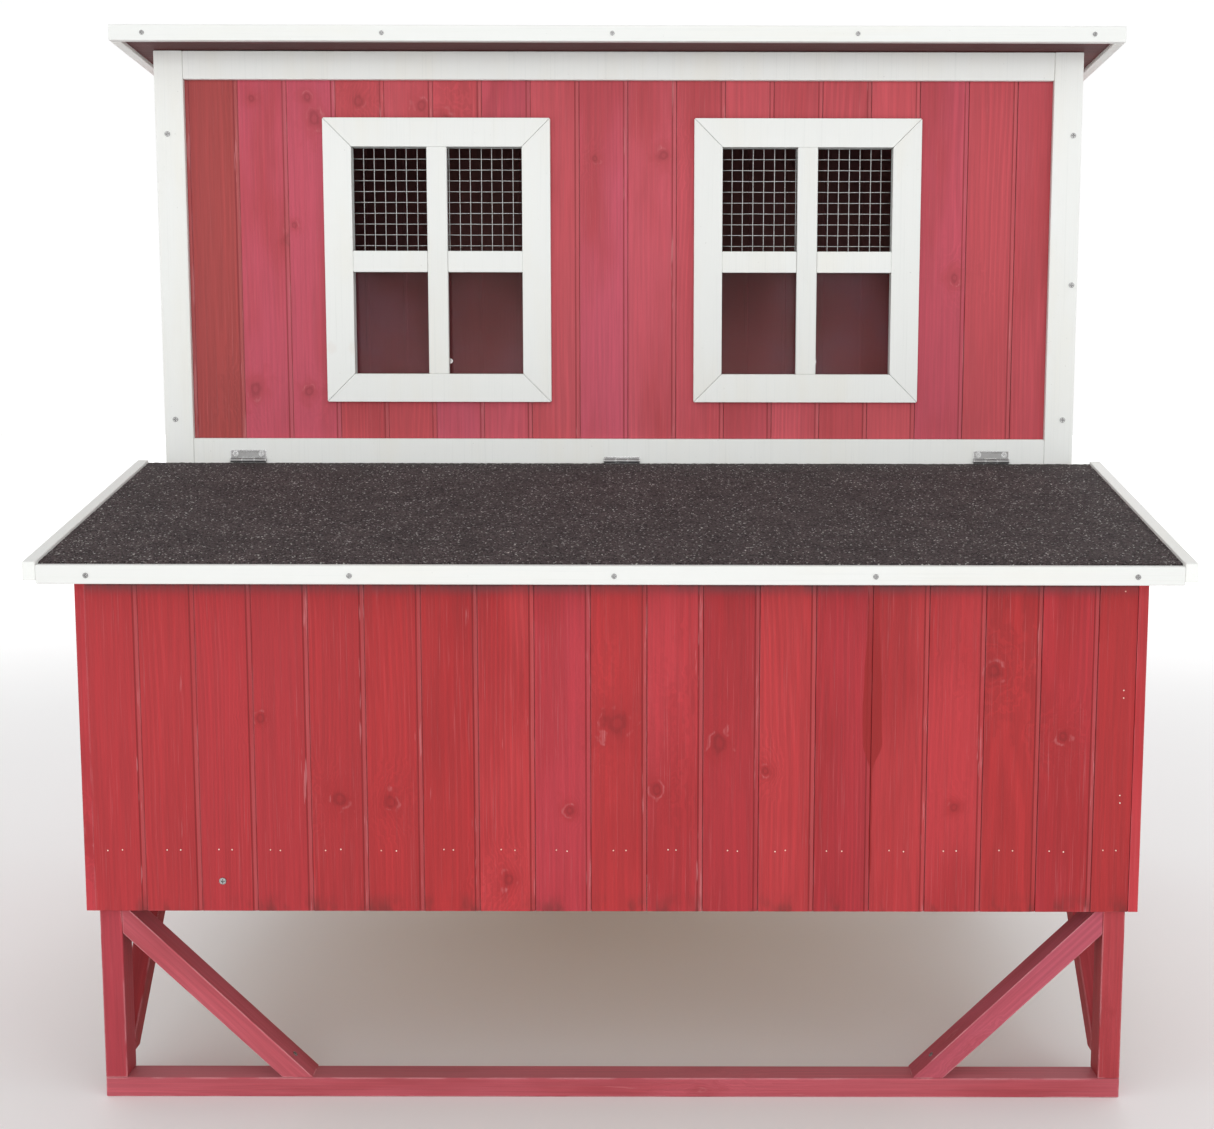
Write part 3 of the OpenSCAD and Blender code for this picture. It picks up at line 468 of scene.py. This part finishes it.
def zinc_plate(name, tone, rough, rim=None, hollow=0.22):
    """Zinc on steel: soft spangles, fine scratches and dull spots.

    rim: tone painted on the convex edges, a painted highlight where it is bright and a painted dark
    outline where it is dark. hollow: how dark the painted shade in recesses is.
    """
    g = Graph(name)
    grain = Grain(g)
    position = grain.position
    spangle = g.node("TexVoronoi", {"Vector": position, "Scale": 240.0})
    flake = g.split(spangle.outputs["Color"])[0]
    scratches = g.noise(grain.vector(2600, 60), 1.0, 2.0, 0.6)
    dull = g.noise(position, 90.0, 3.0, 0.6)
    colour = g.mix(flake, rgb(tone * 0.90, tone * 0.89, tone * 0.88), rgb(tone, tone, tone * 0.99))
    colour = g.mix(g.step(dull, 0.55, 0.72, 0.0, 0.4), colour, rgb(0.34, 0.33, 0.31))
    # Painted highlight on the convex edges where rim is bright; a painted dark outline where it is dark
    if rim:
        colour = g.mix(g.edges(0.0018, 0.95), colour, rgb(rim, rim, rim))
    # Painted shade: the colour is darkened in recesses by ambient occlusion
    occlusion_shade = g.node("AmbientOcclusion", {"Distance": 0.0025}, samples=4).outputs["AO"]
    colour = g.tint(colour, g.step(occlusion_shade, 0.30, 0.85, hollow, 1.0))
    roughness = g.add(rough, g.mul(dull, 0.18))
    normal = g.bump(g.add(scratches, g.mul(flake, 0.25)), 0.00012, 0.5)
    return g.finish(colour, roughness, normal, Metallic=1.0)


def acrylic_sheet(name):
    """Clear acrylic with patchy haze and fine scratches, under a reddish film that is painted light: it
    stands in for the lit red cabin inside seen through the panes, thicker low down.
    """
    g = Graph(name)
    position = g.node("TexCoord").outputs["Object"]
    haze = g.noise(position, 9.0, 3.0, 0.6)
    stretched = g.node("VectorMath", {0: position, 1: (900, 900, 120)}, operation="MULTIPLY").outputs[0]
    fine = g.noise(stretched, 1.0, 2.0)
    low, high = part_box("window_panes")
    z = g.split(position)[2]
    lower = g.step(z, high[2], low[2])
    # Partly painted light: the film grows thicker towards the bottom, standing in for the lit red inside
    # seen through the lower panes; the patchy part is haze
    film = g.add(g.mul(lower, 0.085), g.step(haze, 0.35, 0.70, 0.0, 0.06))
    colour = g.mix(g.step(haze, 0.45, 0.72), rgb(0.30, 0.035, 0.040), rgb(0.26, 0.06, 0.09))
    normal = g.bump(fine, 0.00004, 0.4)
    g.put(g.shader.inputs["Alpha"], g.add(film, 0.060))
    return g.finish(colour, g.add(0.10, g.mul(fine, 0.08)), normal, IOR=1.49, Specular_IOR_Level=0.3)


def filler(name):
    """Pin heads flush with the boards, pale where the stain didn't take."""
    g = Graph(name)
    tone = g.randoms(5.3)
    colour = g.mix(tone[0], rgb(0.72, 0.45, 0.36), rgb(0.86, 0.72, 0.62))
    return g.finish(colour, 0.5, Specular_IOR_Level=0.4)


# ---- Materials of the CAD nodes ----

SHADES_NEST = (rgb(0.425, 0.034, 0.044), rgb(0.375, 0.024, 0.030), rgb(0.310, 0.017, 0.020))
SHADES_WALL = (rgb(0.470, 0.072, 0.100), rgb(0.430, 0.058, 0.078), rgb(0.355, 0.042, 0.050))
SHADES_FRAME = (rgb(0.385, 0.043, 0.054), rgb(0.340, 0.030, 0.038), rgb(0.260, 0.019, 0.023))
SHADES_RAIL = (rgb(0.430, 0.080, 0.105), rgb(0.380, 0.060, 0.078), rgb(0.300, 0.036, 0.044))
# The roof's underside: the red stain made far darker, as painted shade under the roof
SOFFIT_SHADED_TONES = (rgb(0.120, 0.028, 0.030), rgb(0.095, 0.020, 0.022), rgb(0.060, 0.012, 0.013))
# Knots that stand out on the two front faces: place across, height and radius
NEST_KNOTS = ((0.005, 0.405, 0.0135), (0.390, 0.460, 0.008), (-0.360, 0.410, 0.005),
              (-0.280, 0.325, 0.008), (-0.228, 0.322, 0.007), (0.046, 0.335, 0.006),
              (-0.107, 0.240, 0.007), (0.352, 0.317, 0.005), (0.462, 0.392, 0.007))
WALL_KNOTS = ((-0.437, 0.736, 0.008), (-0.373, 0.733, 0.006), (-0.433, 1.077, 0.005),
              (-0.367, 1.079, 0.005), (-0.307, 1.075, 0.007), (-0.386, 0.930, 0.004),
              (0.053, 1.012, 0.007), (0.400, 0.870, 0.006))
UP = (0, 0, 1)
ALONG_X = (1, 0, 0)
ALONG_Y = (0, 1, 0)


def board_grid(node, axis):
    """One groove and the pitch of a node's boards, as Grain counts them across."""
    places = seams(node, axis)
    pitch = (places[-2] - places[1]) / (len(places) - 3)
    return places[1], pitch


def flat_shading():
    """A modifier tree that shades every face flat, whatever normals came with the mesh."""
    tree = bpy.data.node_groups.new("flat_shading", "GeometryNodeTree")
    tree.interface.new_socket("Geometry", in_out="INPUT", socket_type="NodeSocketGeometry")
    tree.interface.new_socket("Geometry", in_out="OUTPUT", socket_type="NodeSocketGeometry")
    flat = tree.nodes.new("GeometryNodeSetMeshNormal")
    flat.mode = "SHARPNESS"
    flat.inputs["Remove Custom"].default_value = True
    flat.inputs["Face Sharpness"].default_value = True
    tree.links.new(tree.nodes.new("NodeGroupInput").outputs[0], flat.inputs["Mesh"])
    tree.links.new(flat.outputs[0], tree.nodes.new("NodeGroupOutput").inputs[0])
    return tree


FLAT = flat_shading()


def dress(material, *nodes, width=0.0, segments=2):
    """Gives CAD nodes a material and, with a width, softened edges; without one, smooth rounds."""
    for node in nodes:
        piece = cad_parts[node]
        piece.data.materials.clear()
        piece.data.materials.append(material)
        weld = piece.modifiers.new("weld", "WELD")
        weld.merge_threshold = SEAM / 10
        if width:
            bevel = piece.modifiers.new("bevel", "BEVEL")
            bevel.width = width
            bevel.segments = segments
            bevel.limit_method = "ANGLE"
            bevel.angle_limit = CORNER
            piece.modifiers.new("flat", "NODES").node_group = FLAT
        else:
            piece.modifiers.new("crisp", "EDGE_SPLIT").split_angle = CORNER


def dress_timber():
    places = seams("nest_front_boards", 0)
    low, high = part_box("nest_front_boards")
    drip_seam = min(places, key=lambda x: abs(x - high[0] / 2))
    dress(stained_timber("nest_boards", SHADES_NEST, across=ALONG_X, knot_chance=0.10, worn=0.15,
                         grid=board_grid("nest_front_boards", 0), placed=NEST_KNOTS,
                         end_below=places[4], end_tone=rgb(0.360, 0.025, 0.030), foot=low[2],
                         painted_shadow_under=span("lid_front_fascia", 2)[0], drip=(drip_seam, high[2], 0.215)),
          "nest_front_boards", width=0.0005)
    dress(stained_timber("nest_side_stain", SHADES_NEST, across=ALONG_Y, worn=0.2,
                         grid=board_grid("nest_side_boards", 1)),
          "nest_side_boards", width=0.0005)
    dress(stained_timber("wall_boards", SHADES_WALL, across=ALONG_X, knot_chance=0.12, worn=0.15,
                         grid=board_grid("window_wall_boards", 0), placed=WALL_KNOTS,
                         end_below=seams("window_wall_boards", 0)[1],
                         end_tone=rgb(0.285, 0.044, 0.038)),
          "window_wall_boards", width=0.0005)
    dress(stained_timber("back_boards", SHADES_WALL, across=ALONG_X, knot_chance=0.12, worn=0.15,
                         grid=board_grid("window_wall_boards", 0), painted_shade_facing=(0, -1, 0)),
          "back_wall_boards", "pop_door_panel", width=0.0005)
    dress(stained_timber("side_stain", SHADES_WALL, across=ALONG_Y, worn=0.2,
                         grid=board_grid("left_wall_boards", 1)),
          "left_wall_boards", "right_wall_boards", "door_boards", width=0.0005)
    dress(stained_timber("rail_stain", SHADES_RAIL, ALONG_X, worn=0.95, dusty=0.25),
          "front_bottom_rail", "rear_bottom_rail", width=0.0012)
    dress(stained_timber("leg_stain", SHADES_FRAME, UP, worn=0.8),
          "front_legs", "rear_legs", "cabin_frame", width=0.0012)
    dress(stained_timber("bearer_stain", SHADES_FRAME, ALONG_Y), "floor_bearers", width=0.001)
    inner = min(abs(v.co.x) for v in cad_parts["front_braces"].data.vertices)
    low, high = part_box("front_braces")
    dress(stained_timber("brace_stain", SHADES_RAIL, (high[0] - inner, 0, high[2] - low[2]),
                         fold=(0, 0.0), worn=0.9), "front_braces", "rear_braces", width=0.0012)
    dress(stained_timber("side_brace_stain", SHADES_FRAME, (0, -1, 1),
                         fold=(1, middle("side_braces", 1)), worn=0.8), "side_braces", width=0.0012)
    # Painted shade: the roof's underside has its stain made far darker
    dress(stained_timber("soffit_painted_shade", SOFFIT_SHADED_TONES, ALONG_X, knot_chance=0.2), "roof_panel")
    ramp = (0, span("ramp_plank", 1)[1] - span("ramp_plank", 1)[0],
            span("ramp_plank", 2)[0] - span("ramp_plank", 2)[1])
    dress(stained_timber("ramp_stain", SHADES_FRAME, ramp, worn=0.9), "ramp_plank", width=0.0012)

    upright = painted_timber("white_upright", UP)
    level = painted_timber("white_level", ALONG_X)
    # Painted light: this white is brighter than the other whites, standing in for light on the tops of
    # the side strips and fascias
    deep = painted_timber("white_deep_brightened", ALONG_Y, base=(0.80, 0.815, 0.79))
    dress(upright, "window_wall_trim", "window_frames", "window_muntins", "left_wall_trim",
          "right_wall_trim", "back_wall_trim", "pop_door_guides", "door_frame", width=0.0011, segments=3)
    dress(level, "landing_ledge", "roof_front_fascia", "lid_front_fascia", "pop_door_grip",
          "ramp_cleats", width=0.0011, segments=3)
    dress(deep, "roof_side_fascias", "lid_side_strips", "tray_front", width=0.0011, segments=3)

    dress(bare_timber("plywood", ALONG_X, plies=True), "lid_panel", "nest_floor", "cabin_floor",
          "nest_dividers", width=0.0006)
    dress(bare_timber("pine_level", ALONG_X), "nest_batten", "nest_lip", "tray_runners",
          "roost_brackets", width=0.001)
    dress(bare_timber("pine_deep", ALONG_Y), "roost_bars", width=0.003, segments=4)


def dress_metal():
    plate = zinc_plate("hinge_zinc", 0.30, 0.42, rim=0.92)
    dress(plate, "hinge_fixed_leaves", "lid_hinge_leaves", "door_hinge_leaves", "ramp_hinge_leaves",
          "bolt_plate", "bolt_keeper", width=0.00025)
    dress(zinc_plate("rod_zinc", 0.52, 0.28), "hinge_pins", "bolt_rod")
    dress(zinc_plate("screw_zinc", 0.56, 0.40, rim=0.05, hollow=0.7), "frame_screws", "lid_screws")
    dress(zinc_plate("pane_screw_zinc", 0.80, 0.45), "pane_screws")
    dress(zinc_plate("tray_zinc", 0.52, 0.42), "dropping_tray", width=0.0003)
    dress(acrylic_sheet("acrylic"), "window_panes", width=0.0003)


# ---- New pieces ----

def piece_from(mesh_maker, name, material, body, smooth=False):
    """Makes an object from a bmesh and hangs it on its body."""
    made = bmesh.new()
    mesh_maker(made)
    bmesh.ops.recalc_face_normals(made, faces=made.faces)
    mesh = bpy.data.meshes.new(name)
    made.to_mesh(mesh)
    made.free()
    for face in mesh.polygons:
        face.use_smooth = smooth
    mesh.materials.append(material)
    piece = bpy.data.objects.new(name, mesh)
    bpy.context.scene.collection.objects.link(piece)
    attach(piece, body)
    return piece


def felt_sheet(node, body, pitch, rises, material):
    """A sheet of felt in a CAD slab's place, with its crushed slate as real relief."""
    low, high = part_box(node)
    cols = round((high[0] - low[0]) / pitch)
    rows = round((high[1] - low[1]) / pitch)
    front_z = low[2] + FELT_T if rises else high[2]
    back_z = high[2] if rises else low[2] + FELT_T

    def make(mesh):
        top, bottom = [], []
        for j in range(rows + 1):
            t = j / rows
            for i in range(cols + 1):
                x = low[0] + (high[0] - low[0]) * i / cols
                y = low[1] + (high[1] - low[1]) * t
                rim = i in (0, cols) or j in (0, rows)
                if not rim:
                    x += SEED.uniform(-0.4, 0.4) * pitch
                    y += SEED.uniform(-0.4, 0.4) * pitch
                ragged = SEED.uniform(-0.0030, 0.0) if j == rows else 0.0
                z = front_z + (back_z - front_z) * t
                grit = SEED.uniform(-0.0006, 0.0) if rim else SEED.uniform(-0.0005, 0.0004)
                top.append(mesh.verts.new((x, y + ragged, z + grit)))
                bottom.append((x, y + ragged, z - FELT_T))
        width = cols + 1
        for j in range(rows):
            for i in range(cols):
                a = j * width + i
                mesh.faces.new((top[a], top[a + 1], top[a + width + 1], top[a + width]))
        ring = (list(range(width)) + [j * width + cols for j in range(1, rows + 1)]
                + [rows * width + i for i in range(cols - 1, -1, -1)]
                + [j * width for j in range(rows - 1, 0, -1)])
        foot = [mesh.verts.new(bottom[k]) for k in ring]
        for n, k in enumerate(ring):
            after = (n + 1) % len(ring)
            mesh.faces.new((top[k], top[ring[after]], foot[after], foot[n]))
        mesh.faces.new(foot[::-1])

    sheet = piece_from(make, node + "_sheet", material, body)
    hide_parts(node)


def tube(mesh, points, radius):
    """A round wire through points, closed at both ends."""
    sides = 8
    rings = []
    for n, point in enumerate(points):
        before = Vector(points[max(n - 1, 0)])
        after = Vector(points[min(n + 1, len(points) - 1)])
        along = (after - before).normalized()
        side = along.orthogonal().normalized()
        other = along.cross(side)
        turn = [2 * math.pi * k / sides for k in range(sides)]
        rings.append([mesh.verts.new(Vector(point) + radius * (math.cos(a) * side + math.sin(a) * other))
                      for a in turn])
    for ring, following in zip(rings, rings[1:]):
        for k in range(sides):
            mesh.faces.new((ring[k], ring[(k + 1) % sides], following[(k + 1) % sides], following[k]))
    mesh.faces.new(rings[0][::-1])
    mesh.faces.new(rings[-1])


def bars(values, thickness):
    """Middles of the bars whose two faces are in a sorted list."""
    return [(a + b) / 2 for a, b in zip(values, values[1:]) if abs(b - a - thickness) < thickness / 4]


def window_wires():
    """Welded mesh of round wires: uprights in front, cross wires fused to their backs."""
    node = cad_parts["window_mesh"]
    thick = 0.001
    radius = 0.00048
    xs = sorted({round(v.co.x, 5) for v in node.data.vertices})
    zs = sorted({round(v.co.z, 5) for v in node.data.vertices})
    y = middle("window_mesh", 1)
    levels = bars(zs, thick)

    def sway():
        return SEED.uniform(-0.00018, 0.00018)

    def make(mesh):
        for window in clusters(xs, 0.05):
            uprights = bars(window, thick)
            for x in uprights:
                heights = [levels[0] - SEED.uniform(0.001, 0.006)] + levels[1::2] + [levels[-1] + 0.001]
                lean = SEED.uniform(-0.0006, 0.0006)
                tube(mesh, [(x + lean * k / len(heights) + sway() / 2, y - radius * 0.8, z)
                            for k, z in enumerate(heights)], radius)
            for z in levels:
                places = [uprights[0] - 0.001] + uprights[1::2] + [uprights[-1] + 0.001]
                tube(mesh, [(x, y + radius * 0.8, z + sway()) for x in places], radius)

    wires = piece_from(make, "window_mesh_wires", zinc_plate("wire_zinc", 0.60, 0.55, hollow=0.7), "root",
                       smooth=True)
    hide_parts("window_mesh")


def dome(mesh, centre, radius, height):
    """A low round head facing -Y."""
    sides = 10
    centre = Vector(centre)
    rings = []
    for level in (0.0, 0.5, 0.85):
        r = radius * math.cos(level * math.pi / 2)
        y = -height * math.sin(level * math.pi / 2)
        rings.append([mesh.verts.new(centre + Vector((r * math.cos(2 * math.pi * k / sides), y,
                                                      r * math.sin(2 * math.pi * k / sides))))
                      for k in range(sides)])
    for ring, following in zip(rings, rings[1:]):
        for k in range(sides):
            mesh.faces.new((ring[k], ring[(k + 1) % sides], following[(k + 1) % sides], following[k]))
    mesh.faces.new(rings[0][::-1])
    mesh.faces.new(rings[-1])


def nest_pins():
    """Pairs of pins that hold the nest boards to the floor's edge and the corner legs."""
    places = [span("nest_front_boards", 0)[0]] + seams("nest_front_boards", 0) + [
        span("nest_front_boards", 0)[1]]
    face = span("nest_front_boards", 1)[0]
    level = middle("nest_floor", 2)
    leg_x = places[-1] - 0.012
    leg_levels = [level + 0.055 + 0.11 * k for k in range(3)]
    narrowest = 0.03
    head = (0.00085, 0.0003)
    sunk = face + 0.00005

    def make(mesh):
        for left, right in zip(places, places[1:]):
            if right - left < narrowest:
                continue
            first = left + (right - left) * SEED.uniform(0.22, 0.45)
            for x in (first, first + SEED.uniform(0.008, 0.016)):
                dome(mesh, (x, sunk, level + SEED.uniform(-0.001, 0.001)), *head)
        for z in leg_levels:
            for step in (-0.004, 0.004):
                dome(mesh, (leg_x + SEED.uniform(-0.002, 0.002), sunk, z + step), *head)

    piece_from(make, "nest_pins", filler("pin_heads"), "root", smooth=True)


# ---- Studio ----

def studio():
    floor_mesh = bpy.data.meshes.new("floor")
    sides = 64
    reach = 14
    turns = [2 * math.pi * k / sides for k in range(sides)]
    floor_mesh.from_pydata([(reach * math.cos(a), reach * math.sin(a), 0.0) for a in turns], [],
                           [list(range(sides))])
    floor = bpy.data.objects.new("floor", floor_mesh)
    g = Graph("floor")
    position = g.node("TexCoord").outputs["Object"]
    soft = g.noise(position, 1.5, 2.0)
    # Far from the coop the floor glows a little, and runs into the white background without an edge
    distance = g.node("VectorMath", {0: position}, operation="LENGTH").outputs["Value"]
    g.put(g.shader.inputs["Emission Color"], rgb(1.0, 1.0, 1.0))
    g.put(g.shader.inputs["Emission Strength"], g.step(distance, 1.4, 5.0, 0.0, 0.50))
    floor_mesh.materials.append(g.finish(g.mix(soft, rgb(0.90, 0.90, 0.90), rgb(0.93, 0.93, 0.93)), 0.8,
                                         Specular_IOR_Level=0.1))
    bpy.context.scene.collection.objects.link(floor)

    # A bright band around the horizon and a dimmer ceiling: soft light that comes mostly from in front
    world = bpy.data.worlds.new("studio")
    world.use_nodes = True
    tree = world.node_tree
    background = tree.nodes["Background"]
    direction = tree.nodes.new("ShaderNodeTexCoord").outputs["Generated"]
    height = tree.nodes.new("ShaderNodeSeparateXYZ")
    tree.links.new(direction, height.inputs[0])
    fall = tree.nodes.new("ShaderNodeMapRange")
    fall.interpolation_type = "SMOOTHSTEP"
    for socket, value in (("From Min", 0.24), ("From Max", 0.80), ("To Min", 1.01), ("To Max", 0.74)):
        fall.inputs[socket].default_value = value
    tree.links.new(height.outputs["Z"], fall.inputs["Value"])
    tree.links.new(fall.outputs[0], background.inputs["Strength"])
    background.inputs["Color"].default_value = rgb(1.0, 1.0, 1.0)
    bpy.context.scene.world = world

    for name, place, size, power in (("key", (-0.3, -6.5, 1.6), 2.9, 97.0),
                                     ("fill", (3.6, -5.2, 1.8), 2.6, 18.0),
                                     ("back", (0.9, 5.6, 3.2), 3.0, 60.0)):
        data = bpy.data.lights.new(name, "AREA")
        data.size = size
        data.energy = power
        lamp = bpy.data.objects.new(name, data)
        lamp.location = place
        aim = Vector((0, 0, 0.60)) - Vector(place)
        lamp.rotation_euler = aim.to_track_quat("-Z", "Y").to_euler()
        bpy.context.scene.collection.objects.link(lamp)


def camera():
    data = bpy.data.cameras.new("camera")
    data.sensor_width = 36.0
    data.lens = 51.9
    data.shift_x = -0.0425
    data.shift_y = -0.0031
    eye = bpy.data.objects.new("camera", data)
    aside, distance, height = 0.0452, 1.758, 0.7874
    eye.location = (aside, span("nest_front_boards", 1)[0] - distance, height)
    down, turn, roll = 0.1216, -0.0012, 0.0018
    aim = Euler((0, 0, turn)).to_matrix() @ Euler((math.pi / 2 - down, 0, 0)).to_matrix()
    eye.rotation_euler = (aim @ Euler((0, 0, roll)).to_matrix()).to_euler()
    bpy.context.scene.collection.objects.link(eye)
    bpy.context.scene.camera = eye


camera()
studio()
dress_timber()
dress_metal()
felt_sheet("lid_felt", "lid", 0.0028, True, mineral_felt("lid_slate", span("lid_felt", 1)[1]))
felt_sheet("roof_felt", "root", 0.0040, False, mineral_felt("roof_slate", span("roof_felt", 1)[0]))
window_wires()
nest_pins()

scene = bpy.context.scene
scene.view_settings.view_transform = "Standard"
scene.view_settings.look = "None"
